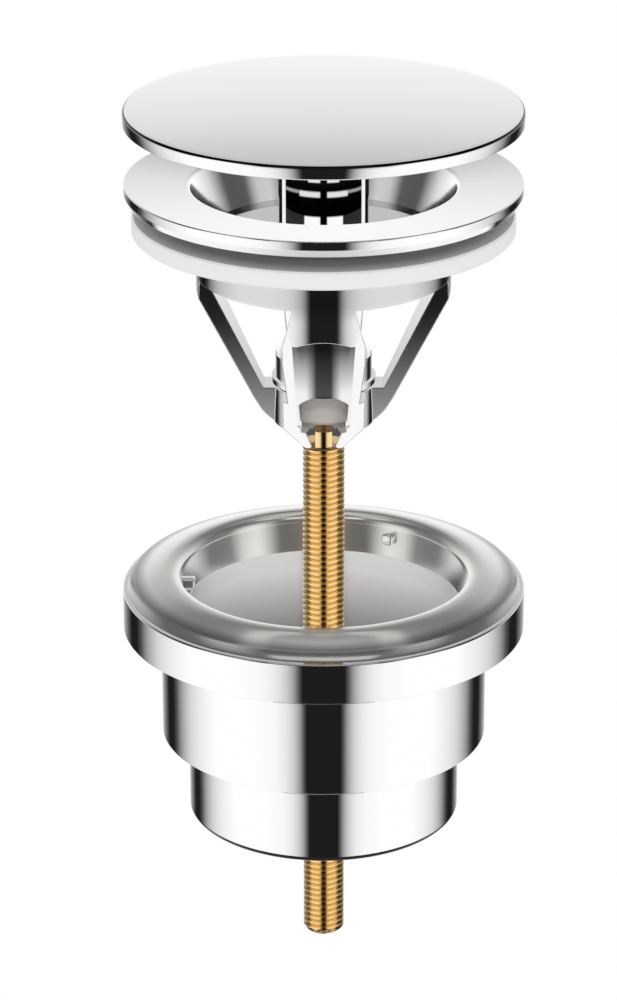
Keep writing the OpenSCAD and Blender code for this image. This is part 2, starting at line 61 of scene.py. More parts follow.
camera_data = bpy.data.cameras.new("photo_camera")
camera_data.lens = lens_mm
camera_data.sensor_width = 36
camera_data.sensor_fit = "AUTO"
camera_data.shift_x = -axis_offset_px / picture_height_px
camera_data.clip_start = 0.01
camera = bpy.data.objects.new("photo_camera", camera_data)
camera.location = (0, -view_distance * math.cos(view_pitch), view_aim_z + view_distance * math.sin(view_pitch))
camera.rotation_euler = (math.pi / 2 - view_pitch, 0, 0)
bpy.context.scene.collection.objects.link(camera)
bpy.context.scene.camera = camera
bpy.context.scene.view_settings.view_transform = "Standard"

# Small tools for shader nodes
# Each adds a node to a tree and gives back its result. A value may be a number, a colour or another
# node's result.


def feed(tree, socket, value):
    if isinstance(value, (int, float, tuple)):
        socket.default_value = value
    else:
        tree.links.new(value, socket)


def math_node(tree, operation, *inputs):
    node = tree.nodes.new("ShaderNodeMath")
    node.operation = operation
    for socket, value in zip(node.inputs, inputs):
        feed(tree, socket, value)
    return node.outputs[0]


def vector_node(tree, operation, *inputs):
    node = tree.nodes.new("ShaderNodeVectorMath")
    node.operation = operation
    for socket, value in zip(node.inputs, inputs):
        feed(tree, socket, value)
    return node.outputs


def product(tree, result, *factors):
    for factor in factors:
        result = math_node(tree, "MULTIPLY", result, factor)
    return result


def scaled(tree, vector, factor):
    """A colour or a direction, times factor."""
    node = tree.nodes.new("ShaderNodeVectorMath")
    node.operation = "SCALE"
    feed(tree, node.inputs[0], vector)
    feed(tree, node.inputs["Scale"], factor)
    return node.outputs[0]


def mixed(tree, data_type, factor, first, second):
    node = tree.nodes.new("ShaderNodeMix")
    node.data_type = data_type
    for name, value in (("Factor", factor), ("A", first), ("B", second)):
        feed(tree, node.inputs[name], value)
    return node.outputs["Result"]


def map_range(tree, source, from_min, from_max, to_min=0.0, to_max=1.0, smooth=False):
    """Source carried from one range to the other, and held at both ends."""
    node = tree.nodes.new("ShaderNodeMapRange")
    if smooth:
        node.interpolation_type = "SMOOTHSTEP"
    for name, value in (("From Min", from_min), ("From Max", from_max), ("To Min", to_min), ("To Max", to_max)):
        node.inputs[name].default_value = value
    tree.links.new(source, node.inputs["Value"])
    return node.outputs["Result"]


def ramp(tree, source, source_span, stops, stop_span):
    """Grey values over source. The two spans are its full scale, in its own unit and in the stops' unit."""
    node = tree.nodes.new("ShaderNodeValToRGB")
    elements = node.color_ramp.elements
    while len(elements) < len(stops):
        elements.new(0.5)
    for element, (place, value) in zip(elements, stops):
        element.position = place / stop_span
        element.color = (value, value, value, 1)
    tree.links.new(math_node(tree, "DIVIDE", source, source_span), node.inputs[0])
    return node.outputs[0]


def axes_of(tree, vector):
    node = tree.nodes.new("ShaderNodeSeparateXYZ")
    tree.links.new(vector, node.inputs[0])
    return node.outputs["X"], node.outputs["Y"], node.outputs["Z"]


def place_axes(tree):
    """The shaded point's x, y and z in metres."""
    place = tree.nodes.new("ShaderNodeTexCoord")
    return axes_of(tree, place.outputs["Object"])


shade_span = 0.04


def radial_shade(tree, stops):
    """A grey ramp over the distance from the axis; stops are (metres, value) pairs."""
    place = tree.nodes.new("ShaderNodeTexCoord")
    flat = vector_node(tree, "MULTIPLY", place.outputs["Object"], (1, 1, 0))[0]
    reach = vector_node(tree, "LENGTH", flat)["Value"]
    return ramp(tree, reach, shade_span, stops, shade_span)


# The studio
# A white tent all round, open in front of the lens, with the dark edges of its rear panels to the
# left and right. Mirror chrome shows it as a black stripe down the middle and two dark side bands.
# The tent's roof is dark, and its rear wall fades upwards, which the flat tops show. Over the lens the
# tent is closed with black cloth and one white panel, its foot is white all round, and rubber and
# plastic get an even white light.
tent_by_azimuth = [(0, 0.012), (12, 0.012), (14, 0.09), (17.5, 0.38), (21, 0.6), (24.5, 0.74), (28, 0.84),
                   (35, 0.94), (50, 1.0), (82, 1.0), (100, 0.82), (110, 0.66), (120, 0.38), (129, 0.08),
                   (135, 0.013), (145, 0.013), (153, 0.14), (164, 0.42), (172, 0.75), (180, 1.0)]
tent_by_height = [(0, 1.0), (10, 0.9), (17, 0.77), (19, 0.7), (20.5, 0.63), (22, 0.56), (25, 0.49), (30, 0.42),
                  (38, 0.12), (46, 0.03), (54, 0.1), (66, 0.45), (90, 0.6)]
tent_over_lens = [(0, 0.01), (36, 0.012), (45, 0.6), (54, 1.0), (68, 0.8), (80, 0.12), (104, 0.1),
                  (124, 0.7), (150, 1.0), (180, 1.0)]
ground_glow = [(0, 0.02), (7, 0.1), (18, 0.6), (30, 0.92), (90, 0.96)]
tent_strength = 1.07
foot_ends, wall_starts = math.radians(-38.2), math.radians(-33.6)
wall_ends, roof_starts = math.radians(-15), math.radians(-7)
panel_low, panel_high, panel_half = math.radians(31), math.radians(47), math.radians(34)
panel_white = 0.95

world = bpy.data.worlds.new("studio")
bpy.context.scene.world = world
world.use_nodes = True
tent = world.node_tree
tent.nodes.clear()
direction = tent.nodes.new("ShaderNodeTexCoord")
right, rear, up = axes_of(tent, direction.outputs["Generated"])
azimuth = math_node(tent, "ARCTAN2", math_node(tent, "ABSOLUTE", right), math_node(tent, "MULTIPLY", rear, -1.0))
height = math_node(tent, "ARCSINE", up)
wall = ramp(tent, azimuth, math.pi, tent_by_azimuth, 180)
roof = math_node(tent, "MULTIPLY", ramp(tent, height, math.pi / 2, tent_by_height, 90),
                 ramp(tent, azimuth, math.pi, tent_over_lens, 180))
panel = product(tent, math_node(tent, "GREATER_THAN", height, panel_low),
                math_node(tent, "LESS_THAN", height, panel_high),
                math_node(tent, "LESS_THAN", azimuth, panel_half), panel_white)
roof = math_node(tent, "MAXIMUM", roof, panel)
above_wall = map_range(tent, height, wall_ends, roof_starts, smooth=True)
upper_tent = mixed(tent, "FLOAT", above_wall, wall, roof)
ground = ramp(tent, math_node(tent, "ADD", height, math.pi / 2), math.pi / 2, ground_glow, 90)
above_ground = map_range(tent, height, foot_ends, wall_starts, smooth=True)
tent_light = tent.nodes.new("ShaderNodeBackground")
tent_light.inputs["Strength"].default_value = tent_strength
tent.links.new(mixed(tent, "FLOAT", above_ground, ground, upper_tent), tent_light.inputs["Color"])
open_white = tent.nodes.new("ShaderNodeBackground")
open_white.inputs["Color"].default_value = (1, 1, 1, 1)
rays = tent.nodes.new("ShaderNodeLightPath")
not_mirrored = math_node(tent, "MAXIMUM", rays.outputs["Is Camera Ray"], rays.outputs["Is Diffuse Ray"])
chosen = tent.nodes.new("ShaderNodeMixShader")
tent.links.new(not_mirrored, chosen.inputs["Fac"])
tent.links.new(tent_light.outputs[0], chosen.inputs[1])
tent.links.new(open_white.outputs[0], chosen.inputs[2])
tent_out = tent.nodes.new("ShaderNodeOutputWorld")
tent.links.new(chosen.outputs[0], tent_out.inputs["Surface"])

# The lamp over the lens
# A narrow soft lamp that reaches into the lower body's cup. Mirror parts don't show it.
lamp_target = Vector((0, 0, -0.07))
lamp_data = bpy.data.lights.new("cup_lamp", "SPOT")
lamp_data.energy = 7.6
lamp_data.spot_size = math.radians(6.2)
lamp_data.spot_blend = 0.5
lamp_data.shadow_soft_size = 0.03
lamp = bpy.data.objects.new("cup_lamp", lamp_data)
lamp.location = (0, -0.58, 0.28)
lamp.rotation_euler = (lamp_target - lamp.location).to_track_quat("-Z", "Y").to_euler()
lamp.visible_glossy = False
bpy.context.scene.collection.objects.link(lamp)

# The floor
# A plain white sheet well below the waste, lit so evenly that it shows no shadow and no edge. It
# can't be seen from below.
floor_z = -0.16
floor_half = 6.0
floor_mesh = bpy.data.meshes.new("floor")
bm = bmesh.new()
bmesh.ops.create_grid(bm, x_segments=1, y_segments=1, size=floor_half)
bmesh.ops.translate(bm, vec=(0, 0, floor_z), verts=bm.verts)
bm.to_mesh(floor_mesh)
bm.free()
floor = bpy.data.objects.new("floor", floor_mesh)
bpy.context.scene.collection.objects.link(floor)
floor.visible_glossy = False
floor.visible_diffuse = False
floor.visible_transmission = True
floor_paper = bpy.data.materials.new("floor_paper")
floor_paper.use_nodes = True
paper = floor_paper.node_tree
paper.nodes.clear()
glow = paper.nodes.new("ShaderNodeEmission")
glow.inputs["Color"].default_value = (1, 1, 1, 1)
clear = paper.nodes.new("ShaderNodeBsdfTransparent")
paper_side = paper.nodes.new("ShaderNodeNewGeometry")
one_sided = paper.nodes.new("ShaderNodeMixShader")
paper.links.new(paper_side.outputs["Backfacing"], one_sided.inputs["Fac"])
paper.links.new(glow.outputs[0], one_sided.inputs[1])
paper.links.new(clear.outputs[0], one_sided.inputs[2])
paper_out = paper.nodes.new("ShaderNodeOutputMaterial")
paper.links.new(one_sided.outputs[0], paper_out.inputs["Surface"])
floor.data.materials.append(floor_paper)

# Turned pieces and threads
# Outlines are lists of radius and height pairs in millimetres.


def arc(centre, radius, start, end, count):
    return [(centre[0] + radius * math.cos(math.radians(start + (end - start) * i / count)),
             centre[1] + radius * math.sin(math.radians(start + (end - start) * i / count)))
            for i in range(count + 1)]


def finish_mesh(bm, name, smooth_below=35):
    bmesh.ops.recalc_face_normals(bm, faces=bm.faces)
    mesh = bpy.data.meshes.new(name)
    bm.to_mesh(mesh)
    bm.free()
    mesh.shade_smooth()
    mesh.set_sharp_from_angle(angle=math.radians(smooth_below))
    piece = bpy.data.objects.new(name, mesh)
    bpy.context.scene.collection.objects.link(piece)
    return piece


def turned(name, outline_mm, steps=192, closed=True):
    """A lathe-turned piece."""
    bm = bmesh.new()
    verts = [bm.verts.new((r / 1000, 0, z / 1000)) for r, z in outline_mm]
    edges = [bm.edges.new(pair) for pair in zip(verts, verts[1:])]
    if closed:
        edges.append(bm.edges.new((verts[-1], verts[0])))
    bmesh.ops.spin(bm, geom=verts + edges, cent=(0, 0, 0), axis=(0, 0, 1), dvec=(0, 0, 0),
                   angle=math.tau, steps=steps, use_merge=True, use_duplicate=False)
    bmesh.ops.remove_doubles(bm, verts=bm.verts, dist=1e-7)
    return finish_mesh(bm, name)


def helix(name, outline_mm, start, pitch, turns, steps):
    """A right-handed helix: the closed outline runs down along the axis from start."""
    bm = bmesh.new()
    chain = [bm.verts.new((r / 1000, 0, (start + z) / 1000)) for r, z in outline_mm]
    links = [bm.edges.new(pair) for pair in zip(chain, chain[1:] + chain[:1])]
    swept = bmesh.ops.spin(bm, geom=chain + links, cent=(0, 0, 0), axis=(0, 0, 1),
                           dvec=(0, 0, -pitch / 1000 / steps), angle=-math.tau * turns,
                           steps=round(steps * turns), use_merge=False, use_duplicate=False)
    last = [item for item in swept["geom_last"] if isinstance(item, bmesh.types.BMVert)]
    bm.faces.new(chain)
    bm.faces.new(last)
    return finish_mesh(bm, name)


# Finishes
# Every finish has faint marks of polishing or moulding. They vary its roughness from low to high and
# raise a very small relief.


def dress(piece, material):
    piece.data.materials.clear()
    piece.data.materials.append(material)


def new_material(name):
    material = bpy.data.materials.new(name)
    material.use_nodes = True
    return material, material.node_tree, material.node_tree.nodes["Principled BSDF"]


def make_polish_marks():
    group = bpy.data.node_groups.new("polish_marks", "ShaderNodeTree")
    for name, way, value in (("Mark Size", "INPUT", 900.0), ("Low", "INPUT", 0.02), ("High", "INPUT", 0.05),
                             ("Roughness", "OUTPUT", 0.0), ("Height", "OUTPUT", 0.0)):
        socket = group.interface.new_socket(name=name, in_out=way, socket_type="NodeSocketFloat")
        socket.default_value = value
    inside = group.nodes.new("NodeGroupInput")
    outside = group.nodes.new("NodeGroupOutput")
    place = group.nodes.new("ShaderNodeTexCoord")
    stretch = group.nodes.new("ShaderNodeMapping")
    stretch.inputs["Scale"].default_value = (1, 1, 0.35)
    noise = group.nodes.new("ShaderNodeTexNoise")
    noise.inputs["Detail"].default_value = 4
    noise.inputs["Roughness"].default_value = 0.6
    spread = group.nodes.new("ShaderNodeMapRange")
    spread.inputs["From Min"].default_value = 0.35
    spread.inputs["From Max"].default_value = 0.75
    group.links.new(place.outputs["Object"], stretch.inputs["Vector"])
    group.links.new(stretch.outputs["Vector"], noise.inputs["Vector"])
    group.links.new(inside.outputs["Mark Size"], noise.inputs["Scale"])
    group.links.new(noise.outputs["Fac"], spread.inputs["Value"])
    group.links.new(inside.outputs["Low"], spread.inputs["To Min"])
    group.links.new(inside.outputs["High"], spread.inputs["To Max"])
    group.links.new(spread.outputs["Result"], outside.inputs["Roughness"])
    group.links.new(noise.outputs["Fac"], outside.inputs["Height"])
    return group


polish_marks = make_polish_marks()


def add_polish(tree, shader, size, low, high, bump):
    marks = tree.nodes.new("ShaderNodeGroup")
    marks.node_tree = polish_marks
    marks.inputs["Mark Size"].default_value = size
    marks.inputs["Low"].default_value = low
    marks.inputs["High"].default_value = high
    tree.links.new(marks.outputs["Roughness"], shader.inputs["Roughness"])
    relief = tree.nodes.new("ShaderNodeBump")
    relief.inputs["Strength"].default_value = 0.3
    relief.inputs["Distance"].default_value = bump
    tree.links.new(marks.outputs["Height"], relief.inputs["Height"])
    tree.links.new(relief.outputs["Normal"], shader.inputs["Normal"])
    return marks


def metal(name, colour, size=700.0, low=0.015, high=0.035, bump=0.000001):
    """A mirror plate, unless size, roughness and bump say otherwise."""
    material, tree, shader = new_material(name)
    shader.inputs["Metallic"].default_value = 1.0
    shader.inputs["Base Color"].default_value = colour
    marks = add_polish(tree, shader, size, low, high, bump)
    return material, tree, shader, marks


def moulded(name, colour, low, high, size=1500.0, bump=0.00001):
    material, tree, shader = new_material(name)
    shader.inputs["Base Color"].default_value = colour
    add_polish(tree, shader, size, low, high, bump)
    return material


# The chrome parts
# Brass, turned and polished, then nickel and chrome plated to a mirror. Where the chrome would mirror
# only dark things, a near-black base colour paints in that dark reflection.
plate_grey = (0.93, 0.93, 0.93, 1)
# Painted dark reflection: a near-black base colour for chrome that should mirror dark things.
painted_dark_grey = (0.022, 0.022, 0.023, 1)
chrome = metal("chrome_plate", plate_grey)[0]
dark_chrome = metal("dark_chrome", painted_dark_grey, high=0.03)[0]
for name in ("click_core", "bridge"):
    dress(nodes[name], chrome)

# The neck under the cap
# Its dark base colour paints in the mirror image of the cap's dark underside, and glowing streaks in it
# are painted highlights. A streak is placed by where its mirror image lies, in degrees from the lens to
# either side, and by its height on the neck in metres.
streaks = [((114, 132), (-0.02, 0.02), 0.9),
           ((9, 40), (0.0102, 0.0109), 0.9),
           ((9, 64), (0.0077, 0.0086), 0.75),
           ((64, 118), (0.0081, 0.0086), 0.35),
           ((9, 50), (0.0, 0.0044), 0.95)]
streak_side_soft = 0.03
streak_end_soft = 0.00015


def between(tree, value, low, high, soft):
    return math_node(tree, "MULTIPLY", map_range(tree, value, low - soft, low + soft),
                     map_range(tree, value, high + soft, high - soft))


# Painted reflection: a dark base colour, with glowing streaks as painted highlights.
neck_painted_reflection, tree, shader = metal("neck_painted_reflection", painted_dark_grey, high=0.03)[:3]
place = tree.nodes.new("ShaderNodeTexCoord")
mirror_x, mirror_y, _ = axes_of(tree, place.outputs["Reflection"])
turn = math_node(tree, "ARCTAN2", math_node(tree, "ABSOLUTE", mirror_x), math_node(tree, "MULTIPLY", mirror_y, -1.0))
z = place_axes(tree)[2]
light = 0.0
for (near, far), (low, high), power in streaks:
    streak = math_node(tree, "MULTIPLY", between(tree, turn, math.radians(near), math.radians(far), streak_side_soft),
                       between(tree, z, low, high, streak_end_soft))
    light = math_node(tree, "MAXIMUM", light, math_node(tree, "MULTIPLY", streak, power))
shader.inputs["Emission Color"].default_value = (1, 1, 1, 1)
tree.links.new(light, shader.inputs["Emission Strength"])
dress(nodes["click_sleeve"], neck_painted_reflection)

# The cast body
# The same plate, but the cone and the inside of the throat were only brushed before plating, so they
# mirror softly. The bore under the cone has painted shade, at half brightness. The flange's top and the
# legs' slanted faces are polished slightly out of true, which their mirror images show. The slanted
# faces also have a painted dark reflection: a stripe down the middle and shade towards the kink. The
# throat has painted shade close under the seal, and the side legs' rounded edges have painted dark lines.
throat_foot_z = -0.007
bore_radius = 0.0195
cone_widening = 0.4
brushed_roughness = 0.1
kink_z = -0.0135
edge_radius = 0.0002

body_chrome, tree, shader, marks = metal("body_chrome", plate_grey)
x, y, z = place_axes(tree)
across = math_node(tree, "ABSOLUTE", x)
off_axis = math_node(tree, "SQRT", math_node(tree, "ADD", math_node(tree, "MULTIPLY", x, x),
                                             math_node(tree, "MULTIPLY", y, y)))
above_foot = math_node(tree, "GREATER_THAN", z, throat_foot_z)
cone_radius = math_node(tree, "ADD", math_node(tree, "MULTIPLY", math_node(tree, "MAXIMUM", z, 0.0), cone_widening),
                        bore_radius)
brushed = product(tree, above_foot, math_node(tree, "LESS_THAN", off_axis, cone_radius), brushed_roughness)
tree.links.new(math_node(tree, "ADD", marks.outputs["Roughness"], brushed), shader.inputs["Roughness"])
# Painted shade inside the bore under the cone: its plate is half as bright.
under_cone = product(tree, math_node(tree, "LESS_THAN", z, -0.0002), above_foot,
                     math_node(tree, "LESS_THAN", off_axis, bore_radius))
plate = mixed(tree, "RGBA", under_cone, plate_grey, (0.5, 0.5, 0.5, 1))

facing = tree.nodes.new("ShaderNodeNewGeometry")
normal_z = axes_of(tree, facing.outputs["Normal"])[2]
on_top = math_node(tree, "MULTIPLY", math_node(tree, "GREATER_THAN", normal_z, 0.99),
                   math_node(tree, "GREATER_THAN", z, 0.005))
on_slant = product(tree, math_node(tree, "LESS_THAN", normal_z, -0.4), math_node(tree, "GREATER_THAN", normal_z, -0.6),
                   math_node(tree, "LESS_THAN", z, -0.01))
lean = math_node(tree, "ADD", math_node(tree, "MULTIPLY", on_top, -0.045),
                 math_node(tree, "MULTIPLY", on_slant, map_range(tree, z, kink_z, -0.0235, 0.0, 0.5)))

# Painted dark reflection on the legs' slanted faces: a dark stripe down the middle, darker towards the kink.
stripe_shade = map_range(tree, across, 0.0012, 0.0028, 0.08, 1.0)
kink_shade = map_range(tree, z, kink_z, -0.023, 0.35, 0.95)
slant_shade = math_node(tree, "ADD", 1.0, math_node(tree, "MULTIPLY", on_slant, math_node(
    tree, "SUBTRACT", math_node(tree, "MULTIPLY", stripe_shade, kink_shade), 1.0)))
# Painted shade on the throat close under the seal.
under_seal = product(tree, map_range(tree, z, -0.009, -0.0065), math_node(tree, "LESS_THAN", z, 0.0005),
                     math_node(tree, "GREATER_THAN", off_axis, 0.0203))
throat_shade = math_node(tree, "SUBTRACT", 1.0, math_node(tree, "MULTIPLY", under_seal, 0.3))
edges = tree.nodes.new("ShaderNodeBevel")
edges.samples = 6
edges.inputs["Radius"].default_value = edge_radius
flatness = vector_node(tree, "DOT_PRODUCT", edges.outputs["Normal"], facing.outputs["True Normal"])["Value"]
# Painted dark lines along the side legs' rounded edges.
on_side_leg = math_node(tree, "MULTIPLY", math_node(tree, "GREATER_THAN", across, 0.0087),
                        math_node(tree, "LESS_THAN", z, -0.008))
on_edge = math_node(tree, "MULTIPLY", on_side_leg, map_range(tree, flatness, 0.99, 0.9, 0.0, 0.85))
body_shade = product(tree, slant_shade, throat_shade, math_node(tree, "SUBTRACT", 1.0, on_edge))
tree.links.new(scaled(tree, plate, body_shade), shader.inputs["Base Color"])

outward = tree.nodes.new("ShaderNodeCombineXYZ")
tree.links.new(math_node(tree, "DIVIDE", x, off_axis), outward.inputs["X"])
tree.links.new(math_node(tree, "DIVIDE", y, off_axis), outward.inputs["Y"])
leaning = vector_node(tree, "ADD", edges.outputs["Normal"], scaled(tree, outward.outputs[0], lean))[0]
tree.links.new(vector_node(tree, "NORMALIZE", leaning)[0], shader.inputs["Normal"])
dress(nodes["waste_body"], body_chrome)

# The cover disc
# A brass disc with a slightly crowned top, a narrow rounded edge, and a straight rim, chrome plated.
# The rounded edge has a painted dark reflection. Its top is a little less bright than the turned parts.
cap_low, cap_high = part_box("cover_cap")
cap_radius = cap_high.x * 1000
cap_under = cap_low.z * 1000
cap_crown_z = cap_high.z * 1000
cap_crown = 0.8
cap_edge = 0.4
cap_under_edge = 0.2
dark_edge_height = 0.32
cap_rim_top = cap_crown_z - cap_crown
crown_run = cap_radius - cap_edge
crown_sphere = (crown_run ** 2 + cap_crown ** 2) / (2 * cap_crown)
crown_half = math.degrees(math.asin(crown_run / crown_sphere))
crown = [(crown_sphere * math.sin(math.radians(a)), cap_crown_z - crown_sphere * (1 - math.cos(math.radians(a))))
         for a in [crown_half * i / 24 for i in range(24, -1, -1)]]
disc_outline = ([(0, cap_under)]
                + arc((cap_radius - cap_under_edge, cap_under + cap_under_edge), cap_under_edge, -90, 0, 4)
                + arc((cap_radius - cap_edge, cap_rim_top - cap_edge), cap_edge, 0, 90, 8) + crown[1:])
cover_disc = turned("cover_disc", disc_outline, steps=256, closed=False)
cap_chrome = metal("cap_chrome", plate_grey, size=500.0, low=0.03, high=0.06)[0]
dress(cover_disc, cap_chrome)
cover_disc.data.materials.append(dark_chrome)
# The faces of the rounded edge get the painted dark reflection.
for face in cover_disc.data.polygons:
    out = math.hypot(face.center.x, face.center.y) * 1000
    if out > crown_run + 0.04 and cap_rim_top - dark_edge_height < face.center.z * 1000 < cap_rim_top:
        face.material_index = 1
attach(cover_disc, "cap")
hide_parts("cover_cap")

# The lower body
# One brass turning with three steps, chrome plated outside. The cup's wall was only plated over the
# tool's marks, so it is satin, and painted shade darkens it towards its floor. The outlet's rounded foot
# and, in front, the steps' rounded edges have a painted dark reflection. The outlet holds a G 1 1/4
# thread of 2.309 mm pitch. Narrow strips beside the rounded edges keep the long walls evenly shaded.
body_low, body_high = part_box("lower_body")
rim_top = body_high.z * 1000
outlet_foot = body_low.z * 1000
rim_radius = body_high.x * 1000
rim_foot = rim_top - 7
seal_base = rim_top - 3.6
middle_foot = rim_foot - 19.3
socket_top = outlet_foot + 12.7
cup_floor = socket_top + 5
lip_wall = 0.84
middle_radius = 27.5
cup_radius = 23.0
outlet_radius = 23.0
socket_radius = 20.95
floor_hole_radius = 17.5
rim_round = 0.25
step_round = 0.12
foot_round = 1.0
socket_chamfer = 0.4
strip = 0.3
shell_outline = ([(cup_radius, seal_base), (rim_radius - lip_wall, seal_base), (rim_radius - lip_wall, rim_top)]
                 + arc((rim_radius - rim_round, rim_top - rim_round), rim_round, 90, 0, 5)
                 + [(rim_radius, rim_top - strip), (rim_radius, rim_foot + strip)]
                 + arc((rim_radius - step_round, rim_foot + step_round), step_round, 0, -90, 4)
                 + [(middle_radius, rim_foot), (middle_radius, middle_foot + strip)]
                 + arc((middle_radius - step_round, middle_foot + step_round), step_round, 0, -90, 4)
                 + [(outlet_radius, middle_foot), (outlet_radius, outlet_foot + foot_round + 0.05)]
                 + arc((outlet_radius - foot_round, outlet_foot + foot_round), foot_round, 0, -90, 8)
                 + [(socket_radius + socket_chamfer, outlet_foot), (socket_radius, outlet_foot + socket_chamfer),
                    (socket_radius, socket_top), (floor_hole_radius, socket_top), (floor_hole_radius, cup_floor),
                    (cup_radius, cup_floor)])
lower_shell = turned("lower_shell", shell_outline, steps=256)
cup_satin_painted_shade, tree, shader = new_material("cup_satin_painted_shade")
shader.inputs["Metallic"].default_value = 0.15
shader.inputs["Base Color"].default_value = (0.95, 0.95, 0.95, 1)
add_polish(tree, shader, 900.0, 0.4, 0.5, 0.000002)
z = place_axes(tree)[2]
# Painted shade: the cup's wall darkens towards its floor.
tree.links.new(map_range(tree, z, -0.0805, -0.0695, 0.38, 0.95), shader.inputs["Base Color"])
dress(lower_shell, chrome)
lower_shell.data.materials.append(cup_satin_painted_shade)
lower_shell.data.materials.append(dark_chrome)
# The outlet's rounded foot and the front of both steps' rounded edges get the painted dark reflection.
for face in lower_shell.data.polygons:
    out = math.hypot(face.center.x, face.center.y) * 1000
    level = face.center.z * 1000
    in_front = face.center.y < -4 * abs(face.center.x)
    if out < cup_radius + 0.01 and level > cup_floor - 0.1:
        face.material_index = 1
    elif level < outlet_foot + foot_round and out > outlet_radius - foot_round:
        face.material_index = 2
    elif in_front and any(foot < level < foot + step_round for foot in (rim_foot, middle_foot)):
        face.material_index = 2

outlet_pitch = 2.309
outlet_turns = 3.3
ridge_root = socket_radius + 0.03
ridge_shape = [(ridge_root, 0.95), (19.55, 0.2), (19.48, 0), (19.55, -0.2), (ridge_root, -0.95)]
outlet_thread = helix("outlet_thread", ridge_shape, socket_top - 3.2, outlet_pitch, outlet_turns, 96)
dress(outlet_thread, chrome)
for piece in (lower_shell, outlet_thread):
    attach(piece, "lower")
    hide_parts("lower_body")

# The plastic and rubber inside the cap
# A moulded carrier disc, a soft black lip ring, and the plastic parts of the click cartridge.
white_plastic = moulded("white_plastic", (0.78, 0.78, 0.76, 1), 0.35, 0.5)
grey_plastic = moulded("grey_plastic", (0.3, 0.32, 0.35, 1), 0.35, 0.5)
warm_plastic = moulded("warm_plastic", (0.6, 0.56, 0.52, 1), 0.35, 0.5)
dark_rubber = moulded("dark_rubber", (0.02, 0.02, 0.02, 1), 0.5, 0.7, size=2500.0, bump=0.00002)
for material, names in ((white_plastic, ("seal_carrier", "stop_ring", "plunger")), (grey_plastic, ("cam_ring",)),
                        (warm_plastic, ("core_plug",)), (dark_rubber, ("cap_seal", "core_gasket", "outlet_washer"))):
    for name in names:
        dress(nodes[name], material)

# The steel parts
# The headless screw through the cap and the spring in the cartridge, drawn stainless steel.
spring_low, spring_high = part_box("click_spring")
spring_long = spring_high.z - spring_low.z
wire_radius = 0.35
coil_radius = 3.05
spring_turns = 8
spring_pitch = (spring_long * 1000 - 2 * wire_radius) / spring_turns
steel = metal("drawn_steel", (0.6, 0.6, 0.6, 1), size=2500.0, low=0.2, high=0.35, bump=0.000002)[0]
wire_outline = arc((coil_radius, 0), wire_radius, 0, 330, 11)
spring_coil = helix("spring_coil", wire_outline, spring_high.z * 1000 - wire_radius, spring_pitch, spring_turns, 48)
for piece in (nodes["cap_stud"], spring_coil):
    dress(piece, steel)
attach(spring_coil, "body")
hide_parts("click_spring")
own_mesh(spring_coil)

# The upper seal
# A thick flat ring of soft white rubber that was punched from sheet, with a matte skin. Its top, in
# the narrow gap under the flange, has painted shade.
rubber_white = (0.88, 0.88, 0.87)
white_rubber, tree, shader = new_material("white_rubber")
shader.inputs["Base Color"].default_value = (*rubber_white, 1)
shader.inputs["Subsurface Weight"].default_value = 0.15
shader.inputs["Subsurface Radius"].default_value = (0.001, 0.001, 0.001)
add_polish(tree, shader, 1800.0, 0.5, 0.65, 0.00001)
facing = tree.nodes.new("ShaderNodeNewGeometry")
normal_z = axes_of(tree, facing.outputs["Normal"])[2]
# Painted shade on the top, darker further in under the flange.
under_flange = radial_shade(tree, [(0.0275, 0.36), (0.031, 0.7)])
top_shade = mixed(tree, "FLOAT", math_node(tree, "GREATER_THAN", normal_z, 0.9), 1.0, under_flange)
tree.links.new(scaled(tree, rubber_white, top_shade), shader.inputs["Base Color"])
dress(nodes["upper_seal"], white_rubber)

# The clamping rod
# Brass bar with a rolled M7 thread of 1 mm pitch over its whole length below the hub, chamfered at
# the end. Crests are slightly rounded. The roots have painted shade, and painted dark lines along it
# stand in for the dark things that it mirrors in front and to both sides.
rod_low, rod_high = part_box("clamp_rod")
thread_pitch = 0.001
rod_radius = 0.0035
thread_depth = 0.0006
thread_top = -0.0373
thread_steps = 40
rod_chamfer = 0.0008
# Painted shade in the thread's roots, by distance from the axis.
root_shades = [(0.00268, 1.0), (0.00282, 1.0), (0.00286, 0.65), (0.0034, 1.0), (0.0035, 1.0)]
line_shades = [(0, 0.5), (0.00022, 0.5), (0.0005, 1.0), (0.0022, 1.0), (0.0027, 0.55), (0.0032, 0.6), (0.0035, 0.9)]
line_span = 0.004


